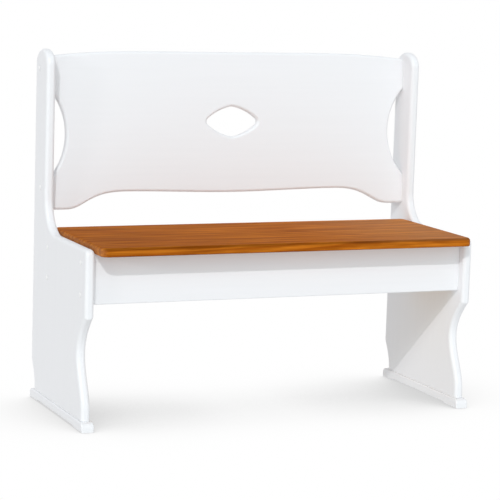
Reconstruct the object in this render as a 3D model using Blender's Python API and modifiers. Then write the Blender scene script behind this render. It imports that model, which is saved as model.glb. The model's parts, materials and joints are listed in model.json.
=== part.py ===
"""Pine bench with a lift-up seat over a storage box.

Painted side panels, backrest, apron and foot rails carry a stained seat board that swings up on two
butt hinges. Lengths are in metres. X runs along the bench, Y from front to back and Z up from the floor.
Depths are measured from the front ends of the foot rails. The bench_root empty then moves the whole
bench, so that the middle of its footprint is at the origin.
"""

import math

import bmesh
import bpy
from mathutils import Vector

# Fits: FIT is the gap between pieces that touch, HOLE_CLEARANCE the radial gap round a shank.
# Points closer than WELD are one point.
FIT = 0.0003
HOLE_CLEARANCE = 0.00035
CUT_OVERRUN = 0.004
WELD = 0.00001

# Side panels, whose outer faces are the bench's width apart
BENCH_WIDTH = 1.050
BENCH_HEIGHT = 0.904
PANEL_THICKNESS = 0.0235
PANEL_FRONT = 0.004
PANEL_REAR = 0.4335
PANEL_ROUNDOVER = 0.009
POST_DEPTH = 0.0975
POST_CROWN_HEIGHT = 0.038
ARM_BELOW_SEAT = 0.010
ARM_CORNER_RADIUS = 0.014
COVE_RADIUS = 0.085
LEG_CURVE_TOP = 0.279
LEG_WAIST_HEIGHT = 0.183
LEG_WAIST_INSET = 0.056
KNEE_HEADING = 135
TOE_HEIGHT = 0.045
TOE_INSET = 0.012
HEEL_HEIGHT = 0.100
HEEL_INSET = 0.028
HEEL_HEADING = 236

# Foot rails under the side panels
FOOT_LENGTH = 0.427
FOOT_WIDTH = 0.033
FOOT_HEIGHT = 0.024
FOOT_END_RADIUS = 0.013
FOOT_PAD_LENGTH = 0.062
FOOT_RELIEF = 0.0035
FOOT_RELIEF_RAMP = 0.010
FOOT_ROUNDOVER = 0.0035

# Seat board
SEAT_TOP = 0.455
SEAT_THICKNESS = 0.0215
SEAT_FRONT_OVERHANG = 0.0445
SEAT_REAR_OVERHANG = 0.022
SEAT_SIDE_GAP = 0.002
SEAT_FRONT_CORNER_RADIUS = 0.018
SEAT_REAR_CORNER_RADIUS = 0.016
SEAT_ROUNDOVER = 0.008
SEAT_LOWER_ROUNDOVER = 0.003

# Apron and rear rail
APRON_FRONT = 0.029
RAIL_REAR = 0.324
RAIL_THICKNESS = 0.030
RAIL_BOTTOM = 0.308
RAIL_EDGE_RADIUS = 0.003

# Backrest board: its front face passes through BACK_FACE_DEPTH at BACK_FACE_HEIGHT and leans back.
# Rises along the board are measured from there.
BACK_THICKNESS = 0.022
BACK_LEAN = math.radians(4.5)
BACK_FACE_DEPTH = 0.378
BACK_FACE_HEIGHT = 0.690
BACK_ROUNDOVER = 0.007
BACK_CROWN_RISE = 0.210
BACK_END_RISE = 0.197
BACK_SHOULDER_SLOPE = 6
BACK_TAB_DROP = 0.1945
BACK_TAB_LENGTH = 0.0435
BACK_WAVE_DROP = 0.151
BACK_WAVE_REACH = 0.301
BACK_SAG_DROP = 0.157
CUTOUT_HEIGHT = 0.226
CUTOUT_DEPTH = 0.0435
DIAMOND_RISE = 0.0286
DIAMOND_WIDTH = 0.144
DIAMOND_HEIGHT = 0.0795
DIAMOND_CORNER_RADIUS = 0.011
DIAMOND_BOW = 15

# Bottom of the storage box and the cleats that carry it
CLEAT_SIZE = 0.018
CLEAT_END_GAP = 0.011
CLEAT_RAISE = 0.003
BOTTOM_THICKNESS = 0.006

# Battens that keep the seat board flat
BATTEN_WIDTH = 0.040
BATTEN_HEIGHT = 0.018
BATTEN_END_GAP = 0.0105
BATTEN_INSET = 0.2512

# Screws through the side panels and foot rails, with their counterbores and cover caps
SCREW_RADIUS = 0.00275
SCREW_LENGTH = 0.050
SCREW_HEAD_RADIUS = 0.0048
SCREW_HEAD_HEIGHT = 0.0035
COUNTERBORE_RADIUS = 0.0053
COUNTERBORE_DEPTH = 0.008
SCREW_TIP_SHARE = 1 / 3
RAIL_SCREW_MARGIN = 0.0238
BACK_SCREW_BELOW_TOP = 0.032
BACK_SCREW_ABOVE_TAB = 0.0575
CAP_RADIUS = 0.0065
CAP_DOME = 0.0018
CAP_STEM_LENGTH = 0.003
FOOT_SCREW_DEPTHS = (0.110, 0.320)
FOOT_SCREW_RECESS = 0.010

# Countersunk wood screws of the battens and hinges
BATTEN_SCREW_RADIUS = 0.002
BATTEN_SCREW_HEAD_RADIUS = 0.004
BATTEN_SCREW_BITE = 0.011
BATTEN_SCREW_SPACING = 0.150
HINGE_SCREW_RADIUS = 0.0016
HINGE_SCREW_HEAD_RADIUS = 0.003
HINGE_SCREW_LENGTH = 0.014
HINGE_SCREW_SPACING = 0.040

# Butt hinges
HINGE_LENGTH = 0.064
HINGE_INSET = 0.1712
MORTISE_WALL = 0.0078
LEAF_THICKNESS = 0.0018
KNUCKLE_RADIUS = 0.0035
KNUCKLE_LENGTH = 0.0272
KNUCKLE_GAP = 0.0004
NOTCH_GAP = 0.0006
PIN_RADIUS = 0.0015
PIN_CLEARANCE = 0.0004

# Fineness of curves, in steps
CORNER_STEPS = 5
SWEEP_STEPS = 8
ROUNDOVER_STEPS = 4
CAP_STEPS = 16
DOME_STEPS = 3
SCREW_STEPS = 10
BORE_STEPS = 12

# Handles of a smooth curve, as shares of the straight distance: even ones, and those of the backrest's
# shoulder and of the S between its wave and its tab
EVEN_PULLS = (0.34, 0.34)
SHOULDER_PULLS = (0.32, 0.59)
TAB_PULLS = (0.61, 0.295)

# Angles between faces: below FLAT they are one face, above RIM they meet at a board's rim, and above
# SMOOTH their edge is drawn sharp
FLAT = math.radians(0.1)
RIM = math.radians(60)
SMOOTH = math.radians(35)

# Places that follow from the sizes above
ARM_HEIGHT = SEAT_TOP - ARM_BELOW_SEAT
SEAT_FRONT = PANEL_FRONT - SEAT_FRONT_OVERHANG
SEAT_REAR = RAIL_REAR + SEAT_REAR_OVERHANG
SEAT_BOTTOM = SEAT_TOP - SEAT_THICKNESS
PANEL_MIDDLE = BENCH_WIDTH / 2 - PANEL_THICKNESS / 2
PANEL_INNER = BENCH_WIDTH / 2 - PANEL_THICKNESS
PANEL_BOTTOM = FOOT_HEIGHT + FIT
BOARD_HALF = PANEL_INNER - FIT
HINGE_REACH = BOARD_HALF - HINGE_INSET
BATTEN_REACH = BOARD_HALF - BATTEN_INSET
SEAT_HALF = PANEL_INNER - SEAT_SIDE_GAP
RAIL_TOP = SEAT_BOTTOM - FIT
RAIL_FRONT = RAIL_REAR - RAIL_THICKNESS
APRON_REAR = APRON_FRONT + RAIL_THICKNESS
BOX_MIDDLE = (APRON_REAR + RAIL_FRONT) / 2
BOX_DEPTH = RAIL_FRONT - APRON_REAR
CLEAT_TOP = RAIL_BOTTOM + CLEAT_RAISE + CLEAT_SIZE
HINGE_DEPTH = RAIL_REAR + FIT + KNUCKLE_RADIUS
HINGE_HEIGHT = (SEAT_BOTTOM + RAIL_TOP) / 2
LEAF_WIDTH = HINGE_DEPTH - RAIL_FRONT - MORTISE_WALL
HINGE_AXIS = Vector((0.0, HINGE_DEPTH, HINGE_HEIGHT))
SIDES = (("left", -1), ("right", 1))

# Turns of the pieces: ACROSS takes an outline of (depth, height) across the bench's width, LEANING
# stands an outline of (x, rise) up as the backrest leans, and DOWN points a screw's head downwards.
UPRIGHT = (0.0, 0.0, 0.0)
ACROSS = (math.pi / 2, 0.0, math.pi / 2)
LEANING = (math.pi / 2 - BACK_LEAN, 0.0, 0.0)
DOWN = (math.pi, 0.0, 0.0)


def clear_scene():
    """Empties the scene that the script starts in."""
    for obj in list(bpy.data.objects):
        bpy.data.objects.remove(obj, do_unlink=True)


def new_collection(name):
    collection = bpy.data.collections.new(name)
    bpy.context.scene.collection.children.link(collection)
    return collection


def linear(channel):
    """One sRGB channel from 0 to 255 as linear light."""
    value = channel / 255
    return value / 12.92 if value <= 0.04045 else ((value + 0.055) / 1.055) ** 2.4


def finish(name, srgb, roughness, metallic=0.0):
    """Principled material of one plain finish."""
    material = bpy.data.materials.new(name)
    material.use_nodes = True
    shader = material.node_tree.nodes["Principled BSDF"]
    shader.inputs["Base Color"].default_value = (*[linear(channel) for channel in srgb], 1.0)
    shader.inputs["Roughness"].default_value = roughness
    shader.inputs["Metallic"].default_value = metallic
    return material


def arc(centre, radii, start, end, steps):
    """Points of an elliptical arc from one angle in degrees to another."""
    points = []
    for i in range(steps + 1):
        angle = math.radians(start + (end - start) * i / steps)
        points.append((centre[0] + radii[0] * math.cos(angle), centre[1] + radii[1] * math.sin(angle)))
    return points


def sweep(start, heading, end, end_heading, pulls=EVEN_PULLS):
    """Points of a smooth curve after its start. It leaves and arrives at headings given in degrees.

    Each pull is the length of a Bezier handle, as a share of the straight distance.
    """
    reach = math.dist(start, end)
    leave, arrive = math.radians(heading), math.radians(end_heading)
    handles = (
        start,
        (start[0] + pulls[0] * reach * math.cos(leave), start[1] + pulls[0] * reach * math.sin(leave)),
        (end[0] - pulls[1] * reach * math.cos(arrive), end[1] - pulls[1] * reach * math.sin(arrive)),
        end,
    )
    points = []
    for i in range(1, SWEEP_STEPS + 1):
        t = i / SWEEP_STEPS
        weights = ((1 - t) ** 3, 3 * t * (1 - t) ** 2, 3 * t**2 * (1 - t), t**3)
        points.append(tuple(sum(w * handle[k] for w, handle in zip(weights, handles)) for k in (0, 1)))
    return points


def rounded_rectangle(low, high, radii):
    """Rectangle with the radii of its corners, anticlockwise from the lowest one. 0 is a square corner."""
    (x0, y0), (x1, y1) = low, high
    corners = ((x0, y0, 1, 1, 180), (x1, y0, -1, 1, 270), (x1, y1, -1, -1, 0), (x0, y1, 1, -1, 90))
    points = []
    for (x, y, inward_x, inward_y, start), radius in zip(corners, radii):
        centre = (x + inward_x * radius, y + inward_y * radius)
        steps = CORNER_STEPS if radius else 0
        points += arc(centre, (radius, radius), start, start + 90, steps) if steps else [(x, y)]
    return points


def baked_mesh(obj):
    """Mesh of an object as it is evaluated, with its caps welded on. The object is removed."""
    bpy.context.view_layer.update()
    graph = bpy.context.evaluated_depsgraph_get()
    mesh = bpy.data.meshes.new_from_object(obj.evaluated_get(graph))
    mesh.name = obj.name
    bpy.data.objects.remove(obj, do_unlink=True)
    bm = bmesh.new()
    bm.from_mesh(mesh)
    bmesh.ops.remove_doubles(bm, verts=bm.verts, dist=WELD)
    bmesh.ops.recalc_face_normals(bm, faces=bm.faces)
    bm.to_mesh(mesh)
    bm.free()
    return mesh


def board_mesh(name, outline, thickness, hole=()):
    """Board of even thickness cut to an outline, with a hole in it where one is given."""
    curve = bpy.data.curves.new(name, "CURVE")
    curve.dimensions = "2D"
    curve.fill_mode = "BOTH"
    curve.extrude = thickness / 2
    for path in filter(None, (outline, hole)):
        spline = curve.splines.new("POLY")
        spline.points.add(len(path) - 1)
        for point, (u, v) in zip(spline.points, path):
            point.co = (u, v, 0.0, 1.0)
        spline.use_cyclic_u = True
    drawn = bpy.data.objects.new(name, curve)
    bench.objects.link(drawn)
    mesh = baked_mesh(drawn)
    bpy.data.curves.remove(curve)
    bm = bmesh.new()
    bm.from_mesh(mesh)
    flat = [edge for edge in bm.edges if edge.calc_face_angle(math.pi) < FLAT]
    bmesh.ops.dissolve_limit(bm, angle_limit=FLAT, edges=flat, verts=[])
    bm.to_mesh(mesh)
    bm.free()
    return mesh


def box_mesh(name, size):
    """Plain box about its own centre."""
    bm = bmesh.new()
    bmesh.ops.create_cube(bm, size=1.0)
    bmesh.ops.scale(bm, vec=size, verts=bm.verts)
    mesh = bpy.data.meshes.new(name)
    bm.to_mesh(mesh)
    bm.free()
    return mesh


def turned_mesh(name, profile, steps):
    """Solid turned about Z from a profile of (radius, height) that runs from top to bottom."""
    outline = bpy.data.meshes.new(name)
    edges = [(i, i + 1) for i in range(len(profile) - 1)]
    outline.from_pydata([(radius, 0.0, height) for radius, height in profile], edges, [])
    lathe = bpy.data.objects.new(name, outline)
    bench.objects.link(lathe)
    screw = lathe.modifiers.new("turn", "SCREW")
    screw.steps = steps
    screw.render_steps = steps
    screw.use_merge_vertices = True
    screw.merge_threshold = WELD
    return baked_mesh(lathe)


def stand(obj, place, turn, parent):
    """Puts an object on its parent empty, at a place given in the bench's own depths and heights."""
    obj.parent = parent
    carried_at = Vector() if parent == bench_root else parent.location
    obj.location = Vector(place) - carried_at
    obj.rotation_euler = turn


def add(name, mesh, material, place, turn=UPRIGHT, parent=None):
    """Piece of the bench."""
    obj = bpy.data.objects.new(name, mesh)
    bench.objects.link(obj)
    stand(obj, place, turn, parent or bench_root)
    if not mesh.materials:
        mesh.materials.append(material)
    mesh.shade_smooth()
    mesh.set_sharp_from_angle(angle=SMOOTH)
    return obj


def cutter(name, mesh, place, turn=UPRIGHT, parent=None):
    """Hidden tool of a Boolean."""
    obj = bpy.data.objects.new(name, mesh)
    cutters.objects.link(obj)
    stand(obj, place, turn, parent or bench_root)
    obj.hide_render = True
    obj.display_type = "WIRE"
    return obj


def cut(obj, tool):
    modifier = obj.modifiers.new(tool.name, "BOOLEAN")
    modifier.operation = "DIFFERENCE"
    modifier.solver = "EXACT"
    modifier.object = tool


def round_rims(obj, width, lower_width=None, square=lambda u, v: False):
    """Rounds the edges between a board's faces and its rim, but not those where square holds at both ends.

    The edges of the lower face have a width of their own where lower_width is given.
    """
    bm = bmesh.new()
    bm.from_mesh(obj.data)
    level = max(vertex.co.z for vertex in bm.verts)
    weight = bm.edges.layers.float.new("bevel_weight_edge")
    for edge in bm.edges:
        ends = [vertex.co for vertex in edge.verts]
        upper, lower = (all(abs(end.z - face * level) < WELD for end in ends) for face in (1, -1))
        sharp = edge.calc_face_angle(0.0) > RIM
        left_square = all(square(end.x, end.y) for end in ends)
        if sharp and not left_square and upper:
            edge[weight] = 1.0
        if sharp and not left_square and lower:
            edge[weight] = (lower_width or width) / width
    bm.to_mesh(obj.data)
    bm.free()
    bevel = obj.modifiers.new("round", "BEVEL")
    bevel.limit_method = "WEIGHT"
    bevel.width = width
    bevel.segments = ROUNDOVER_STEPS
    bevel.loop_slide = False
    bevel.use_clamp_overlap = False


def panel_outline():
    """Side panel as (depth, height): leg, arm, cove and round-topped post in one board."""
    toe = (PANEL_FRONT + TOE_INSET, TOE_HEIGHT)
    waist = (PANEL_FRONT + LEG_WAIST_INSET, LEG_WAIST_HEIGHT)
    knee = (PANEL_FRONT, LEG_CURVE_TOP)
    heel = (PANEL_REAR, HEEL_HEIGHT)
    heel_foot = (PANEL_REAR - HEEL_INSET, PANEL_BOTTOM)
    arm_corner = (PANEL_FRONT + ARM_CORNER_RADIUS, ARM_HEIGHT - ARM_CORNER_RADIUS)
    cove = (PANEL_REAR - POST_DEPTH - COVE_RADIUS, ARM_HEIGHT + COVE_RADIUS)
    crown = (PANEL_REAR - POST_DEPTH / 2, BENCH_HEIGHT - POST_CROWN_HEIGHT)
    points = [(toe[0], PANEL_BOTTOM), toe]
    points += sweep(toe, 90, waist, 90)
    points += sweep(waist, 90, knee, KNEE_HEADING)
    points += arc(arm_corner, (ARM_CORNER_RADIUS, ARM_CORNER_RADIUS), 180, 90, CORNER_STEPS)
    points += arc(cove, (COVE_RADIUS, COVE_RADIUS), 270, 360, 2 * CORNER_STEPS)
    points += arc(crown, (POST_DEPTH / 2, POST_CROWN_HEIGHT), 180, 0, 3 * CORNER_STEPS)
    points.append(heel)
    points += sweep(heel, HEEL_HEADING, heel_foot, 270)
    return points


def foot_outline():
    """Foot rail as (depth, height): two pads with a shallow relief between them."""
    ramp = FOOT_PAD_LENGTH + FOOT_RELIEF_RAMP
    crown = FOOT_HEIGHT - FOOT_END_RADIUS
    radii = (FOOT_END_RADIUS, FOOT_END_RADIUS)
    points = [
        (0.0, 0.0),
        (FOOT_PAD_LENGTH, 0.0),
        (ramp, FOOT_RELIEF),
        (FOOT_LENGTH - ramp, FOOT_RELIEF),
        (FOOT_LENGTH - FOOT_PAD_LENGTH, 0.0),
        (FOOT_LENGTH, 0.0),
    ]
    points += arc((FOOT_LENGTH - FOOT_END_RADIUS, crown), radii, 0, 90, CORNER_STEPS)
    points += arc((FOOT_END_RADIUS, crown), radii, 90, 180, CORNER_STEPS)
    return points


def back_outline():
    """Backrest board as (x, rise): crowned top, round end cut-outs and a wavy lower edge."""
    sag = (0.0, -BACK_SAG_DROP)
    wave = (BACK_WAVE_REACH, -BACK_WAVE_DROP)
    tab = (BOARD_HALF - BACK_TAB_LENGTH, -BACK_TAB_DROP)
    end = (BOARD_HALF, BACK_END_RISE)
    crown = (0.0, BACK_CROWN_RISE)
    cut_radius = (CUTOUT_HEIGHT**2 / 4 + CUTOUT_DEPTH**2) / (2 * CUTOUT_DEPTH)
    cut_angle = math.degrees(math.asin(CUTOUT_HEIGHT / 2 / cut_radius))
    cut_centre = (BOARD_HALF - CUTOUT_DEPTH + cut_radius, 0.0)
    half = [sag]
    half += sweep(sag, 0, wave, 0)
    half += sweep(wave, 0, tab, 0, TAB_PULLS)
    half.append((BOARD_HALF, -BACK_TAB_DROP))
    half += arc(cut_centre, (cut_radius, cut_radius), 180 + cut_angle, 180 - cut_angle, 3 * CORNER_STEPS)
    half.append(end)
    half += sweep(end, 180 - BACK_SHOULDER_SLOPE, crown, 180, SHOULDER_PULLS)
    return half + [(-x, rise) for x, rise in reversed(half[1:-1])]


def diamond_outline():
    """Hand hole of the backrest: a diamond with rounded corners and sides bowed slightly outwards."""
    radii = (DIAMOND_CORNER_RADIUS, DIAMOND_CORNER_RADIUS)
    tip = (DIAMOND_WIDTH / 2 - DIAMOND_CORNER_RADIUS, 0.0)
    top = (0.0, DIAMOND_HEIGHT / 2 - DIAMOND_CORNER_RADIUS)
    side_faces = math.degrees(math.atan2(tip[0], top[1]))
    leave, arrive = side_faces - DIAMOND_BOW, side_faces + DIAMOND_BOW
    quarter = arc(tip, radii, 0, leave, CORNER_STEPS)
    crown = arc(top, radii, arrive, 90, CORNER_STEPS // 2)
    quarter += sweep(quarter[-1], leave + 90, crown[0], arrive + 90) + crown[1:]
    upper = quarter + [(-x, rise) for x, rise in reversed(quarter[:-1])]
    whole = upper + [(x, -rise) for x, rise in reversed(upper[1:-1])]
    return [(x, DIAMOND_RISE + rise) for x, rise in whole]


def leaf_section(way):
    """Hinge leaf as (depth, height) from the pin's axis: a plate rolled once round the pin.

    The plate lies above the axis where way is 1 and below it where way is -1.
    """
    inner_face = KNUCKLE_RADIUS - LEAF_THICKNESS
    meets = 180 - math.degrees(math.asin(inner_face / KNUCKLE_RADIUS))
    section = [(-LEAF_WIDTH, KNUCKLE_RADIUS), (-LEAF_WIDTH, inner_face)]
    section += arc((0.0, 0.0), (KNUCKLE_RADIUS, KNUCKLE_RADIUS), meets, 450, 3 * CORNER_STEPS)
    return [(depth, way * height) for depth, height in section]


def back_point(rise, behind_face):
    """Depth and height of a point of the backrest, by its rise and how far behind the front face it is."""
    depth = BACK_FACE_DEPTH + rise * math.sin(BACK_LEAN) + behind_face * math.cos(BACK_LEAN)
    height = BACK_FACE_HEIGHT + rise * math.cos(BACK_LEAN) - behind_face * math.sin(BACK_LEAN)
    return depth, height


def panel_screw_stations():
    """Depth and height of each panel screw, by the board whose end it holds."""
    upper = RAIL_TOP - RAIL_SCREW_MARGIN
    lower = RAIL_BOTTOM + RAIL_SCREW_MARGIN
    apron_middle = APRON_FRONT + RAIL_THICKNESS / 2
    rail_middle = RAIL_REAR - RAIL_THICKNESS / 2
    board_middle = BACK_THICKNESS / 2
    return (
        ("front_apron", "upper", apron_middle, upper),
        ("front_apron", "lower", apron_middle, lower),
        ("rear_rail", "upper", rail_middle, upper),
        ("rear_rail", "lower", rail_middle, lower),
        ("backrest_board", "upper", *back_point(BACK_END_RISE - BACK_SCREW_BELOW_TOP, board_middle)),
        ("backrest_board", "lower", *back_point(BACK_SCREW_ABOVE_TAB - BACK_TAB_DROP, board_middle)),
    )


def panel_screw_meshes():
    """Round-headed screw with its head's underside at height 0, and the stepped hole for it."""
    screw = [
        (0.0, SCREW_HEAD_HEIGHT),
        (SCREW_HEAD_RADIUS, SCREW_HEAD_HEIGHT),
        (SCREW_HEAD_RADIUS, 0.0),
        (SCREW_RADIUS, 0.0),
        (SCREW_RADIUS, -SCREW_LENGTH + SCREW_RADIUS),
        (SCREW_RADIUS * SCREW_TIP_SHARE, -SCREW_LENGTH),
        (0.0, -SCREW_LENGTH),
    ]
    mouth = max(COUNTERBORE_DEPTH, FOOT_SCREW_RECESS) + CUT_OVERRUN
    shank = SCREW_RADIUS + HOLE_CLEARANCE
    hole = [
        (0.0, mouth),
        (COUNTERBORE_RADIUS, mouth),
        (COUNTERBORE_RADIUS, -FIT),
        (shank, -FIT),
        (shank, -SCREW_LENGTH - FIT),
        (0.0, -SCREW_LENGTH - FIT),
    ]
    return turned_mesh("panel_screw", screw, SCREW_STEPS), turned_mesh("panel_screw_hole", hole, SCREW_STEPS)


def wood_screw_meshes(name, radius, head_radius, length):
    """Countersunk screw with the flat of its head at height 0, and the hole for it."""
    cone = head_radius - radius
    screw = [
        (0.0, 0.0),
        (head_radius, 0.0),
        (radius, -cone),
        (radius, -length + 2 * radius),
        (radius * SCREW_TIP_SHARE, -length),
        (0.0, -length),
    ]
    grow = HOLE_CLEARANCE
    hole = [
        (0.0, CUT_OVERRUN),
        (head_radius + grow, CUT_OVERRUN),
        (head_radius + grow, 0.0),
        (radius + grow, -cone),
        (radius + grow, -length - FIT),
        (0.0, -length - FIT),
    ]
    return turned_mesh(name, screw, SCREW_STEPS), turned_mesh(name + "_hole", hole, SCREW_STEPS)


def cap_mesh():
    """Cover cap with its flange's underside at height 0 and a stem that plugs the counterbore."""
    stem = COUNTERBORE_RADIUS - HOLE_CLEARANCE
    dome = arc((0.0, 0.0), (CAP_RADIUS, CAP_DOME), 90, 0, DOME_STEPS)
    plug = [(stem, 0.0), (stem, -CAP_STEM_LENGTH), (0.0, -CAP_STEM_LENGTH)]
    return turned_mesh("cover_cap", dome + plug, CAP_STEPS)


def make_side_panels():
    panels = {}
    for side, sign in SIDES:
        name = f"side_panel_{side}"
        mesh = board_mesh(name, panel_outline(), PANEL_THICKNESS)
        panels[side] = add(name, mesh, white_paint, (sign * PANEL_MIDDLE, 0.0, 0.0), ACROSS)
        round_rims(panels[side], PANEL_ROUNDOVER, square=lambda depth, height: height < PANEL_BOTTOM + WELD)
    return panels


def make_foot_rails(panels):
    """Foot rails, screwed up into the side panels."""
    for side, sign in SIDES:
        name = f"foot_rail_{side}"
        mesh = board_mesh(name, foot_outline(), FOOT_WIDTH)
        rail = add(name, mesh, white_paint, (sign * PANEL_MIDDLE, 0.0, 0.0), ACROSS)
        round_rims(rail, FOOT_ROUNDOVER)
        for end, depth in zip(("front", "rear"), FOOT_SCREW_DEPTHS):
            place = (sign * PANEL_MIDDLE, depth, FOOT_SCREW_RECESS)
            tool = cutter(f"foot_screw_hole_{side}_{end}", panel_screw_hole, place, DOWN)
            cut(rail, tool)
            cut(panels[side], tool)
            add(f"foot_screw_{side}_{end}", panel_screw, zinc_steel, place, DOWN)


def make_backrest():
    mesh = board_mesh("backrest_board", back_outline(), BACK_THICKNESS, diamond_outline())
    middle = (0.0, *back_point(0.0, BACK_THICKNESS / 2))
    board = add("backrest_board", mesh, white_paint, middle, LEANING)
    round_rims(board, BACK_ROUNDOVER, square=lambda x, rise: abs(x) > BOARD_HALF - WELD)
    return board


def make_rail(name, front):
    """Board between the side panels, with its lower edges eased."""
    radii = (RAIL_EDGE_RADIUS, RAIL_EDGE_RADIUS, 0.0, 0.0)
    outline = rounded_rectangle((0.0, 0.0), (RAIL_THICKNESS, RAIL_TOP - RAIL_BOTTOM), radii)
    mesh = board_mesh(name, outline, 2 * BOARD_HALF)
    return add(name, mesh, white_paint, (0.0, front, RAIL_BOTTOM), ACROSS)


def make_box_bottom():
    """Thin bottom on two glued cleats, between the apron and the rear rail."""
    cleat_size = (2 * (BOARD_HALF - CLEAT_END_GAP), CLEAT_SIZE, CLEAT_SIZE)
    height = CLEAT_TOP - CLEAT_SIZE / 2
    for name, depth in (
        ("bottom_cleat_front", APRON_REAR + FIT + CLEAT_SIZE / 2),
        ("bottom_cleat_rear", RAIL_FRONT - FIT - CLEAT_SIZE / 2),
    ):
        add(name, box_mesh(name, cleat_size), bare_pine, (0.0, depth, height))
    sheet_size = (2 * BOARD_HALF, BOX_DEPTH - 2 * FIT, BOTTOM_THICKNESS)
    place = (0.0, BOX_MIDDLE, CLEAT_TOP + FIT + BOTTOM_THICKNESS / 2)
    add("box_bottom", box_mesh("box_bottom", sheet_size), bare_pine, place)


def make_panel_screws(panels, boards):
    """Screws through the side panels into the boards' ends, each under a domed cap."""
    for side, sign in SIDES:
        outward = (0.0, sign * math.pi / 2, 0.0)
        for held, level, depth, height in panel_screw_stations():
            station = f"{held}_{side}_{level}"
            head = (sign * (BENCH_WIDTH / 2 - COUNTERBORE_DEPTH), depth, height)
            tool = cutter(f"hole_{station}", panel_screw_hole, head, outward)
            cut(panels[side], tool)
            cut(boards[held], tool)
            add(f"screw_{station}", panel_screw, zinc_steel, head, outward)
            face = (sign * (BENCH_WIDTH / 2 + FIT), depth, height)
            add(f"cap_{station}", cover_cap, white_plastic, face, outward)


def make_seat():
    """Seat board on the hinge axis."""
    radii = (
        SEAT_FRONT_CORNER_RADIUS,
        SEAT_FRONT_CORNER_RADIUS,
        SEAT_REAR_CORNER_RADIUS,
        SEAT_REAR_CORNER_RADIUS,
    )
    outline = rounded_rectangle((-SEAT_HALF, SEAT_FRONT), (SEAT_HALF, SEAT_REAR), radii)
    mesh = board_mesh("seat_board", outline, SEAT_THICKNESS)
    place = (0.0, 0.0, SEAT_TOP - SEAT_THICKNESS / 2)
    seat = add("seat_board", mesh, stained_pine, place, UPRIGHT, seat_hinge)
    round_rims(seat, SEAT_ROUNDOVER, SEAT_LOWER_ROUNDOVER)
    return seat


def make_battens(seat):
    """Battens across the seat board's underside, screwed from below."""
    top = SEAT_BOTTOM - FIT
    bottom = top - BATTEN_HEIGHT
    size = (BATTEN_WIDTH, BOX_DEPTH - 2 * BATTEN_END_GAP, BATTEN_HEIGHT)
    for side, sign in SIDES:
        name = f"seat_batten_{side}"
        x = sign * BATTEN_REACH
        place = (x, BOX_MIDDLE, (top + bottom) / 2)
        batten = add(name, box_mesh(name, size), bare_pine, place, UPRIGHT, seat_hinge)
        for end, way in (("front", -1), ("rear", 1)):
            head = (x, BOX_MIDDLE + way * BATTEN_SCREW_SPACING / 2, bottom)
            tool = cutter(f"batten_screw_hole_{side}_{end}", batten_screw_hole, head, DOWN, seat_hinge)
            cut(batten, tool)
            cut(seat, tool)
            add(f"batten_screw_{side}_{end}", batten_screw, zinc_steel, head, DOWN, seat_hinge)


def hinge_leaf(name, place, way, spans, parent):
    """Hinge leaf, notched where the other leaf's knuckles turn. spans are those places along X."""
    bore = PIN_RADIUS + PIN_CLEARANCE
    hole = arc((0.0, 0.0), (bore, bore), 0, 360, BORE_STEPS)[:-1]
    mesh = board_mesh(name, leaf_section(way), HINGE_LENGTH, hole)
    leaf = add(name, mesh, zinc_steel, place, ACROSS, parent)
    reach = KNUCKLE_RADIUS + NOTCH_GAP
    for number, (low, high) in enumerate(spans, start=1):
        notch = box_mesh(f"{name}_notch_{number}", (high - low, 2 * reach, 2 * reach))
        at = place + Vector(((low + high) / 2, 0.0, 0.0))
        cut(leaf, cutter(notch.name, notch, at, UPRIGHT, parent))
    return leaf


def make_hinge(side, x, seat, rail):
    """Butt hinge with its leaves let into the seat's underside and the rear rail's top."""
    place = HINGE_AXIS + Vector((x, 0.0, 0.0))
    half = HINGE_LENGTH / 2
    inner = KNUCKLE_LENGTH / 2
    outer = inner + KNUCKLE_GAP
    beyond = half + CUT_OVERRUN
    seat_spans = ((-beyond, -inner), (inner, beyond))
    rail_spans = ((-outer, outer),)
    mortise_front = -LEAF_WIDTH - FIT
    mortise_rear = KNUCKLE_RADIUS + NOTCH_GAP
    mortise_reach = KNUCKLE_RADIUS + FIT
    mortise_size = (HINGE_LENGTH + 2 * FIT, mortise_rear - mortise_front, mortise_reach + CUT_OVERRUN)
    mortise_middle = (mortise_front + mortise_rear) / 2
    screw_line = (-LEAF_WIDTH - KNUCKLE_RADIUS) / 2
    for owner, way, board, parent, spans in (
        ("seat", 1, seat, seat_hinge, seat_spans),
        ("rail", -1, rail, bench_root, rail_spans),
    ):
        leaf = hinge_leaf(f"hinge_{owner}_leaf_{side}", place, way, spans, parent)
        middle = Vector((0.0, mortise_middle, way * (mortise_reach - CUT_OVERRUN) / 2))
        mortise = box_mesh(f"{owner}_mortise_{side}", mortise_size)
        cut(board, cutter(mortise.name, mortise, place + middle, UPRIGHT, parent))
        turn = DOWN if way > 0 else UPRIGHT
        inner_face = way * (KNUCKLE_RADIUS - LEAF_THICKNESS)
        for number, sign in enumerate((-1, 1), start=1):
            shift = Vector((sign * HINGE_SCREW_SPACING / 2, screw_line, inner_face))
            name = f"hinge_{owner}_screw_{side}_{number}"
            tool = cutter(name + "_hole", hinge_screw_hole, place + shift, turn, parent)
            cut(leaf, tool)
            cut(board, tool)
            add(name, hinge_screw, zinc_steel, place + shift, turn, parent)
    profile = [(0.0, half), (PIN_RADIUS, half), (PIN_RADIUS, -half), (0.0, -half)]
    pin = turned_mesh("hinge_pin", profile, SCREW_STEPS)
    add(f"hinge_pin_{side}", pin, zinc_steel, place, (0.0, math.pi / 2, 0.0))


clear_scene()
bench = new_collection("pine_bench")
cutters = new_collection("pine_bench_cutters")

bench_root = bpy.data.objects.new("bench_root", None)
bench.objects.link(bench_root)
bench_root.location = (0.0, -(SEAT_FRONT + PANEL_REAR) / 2, 0.0)
seat_hinge = bpy.data.objects.new("seat_hinge", None)
bench.objects.link(seat_hinge)
seat_hinge.parent = bench_root
seat_hinge.location = HINGE_AXIS

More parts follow.
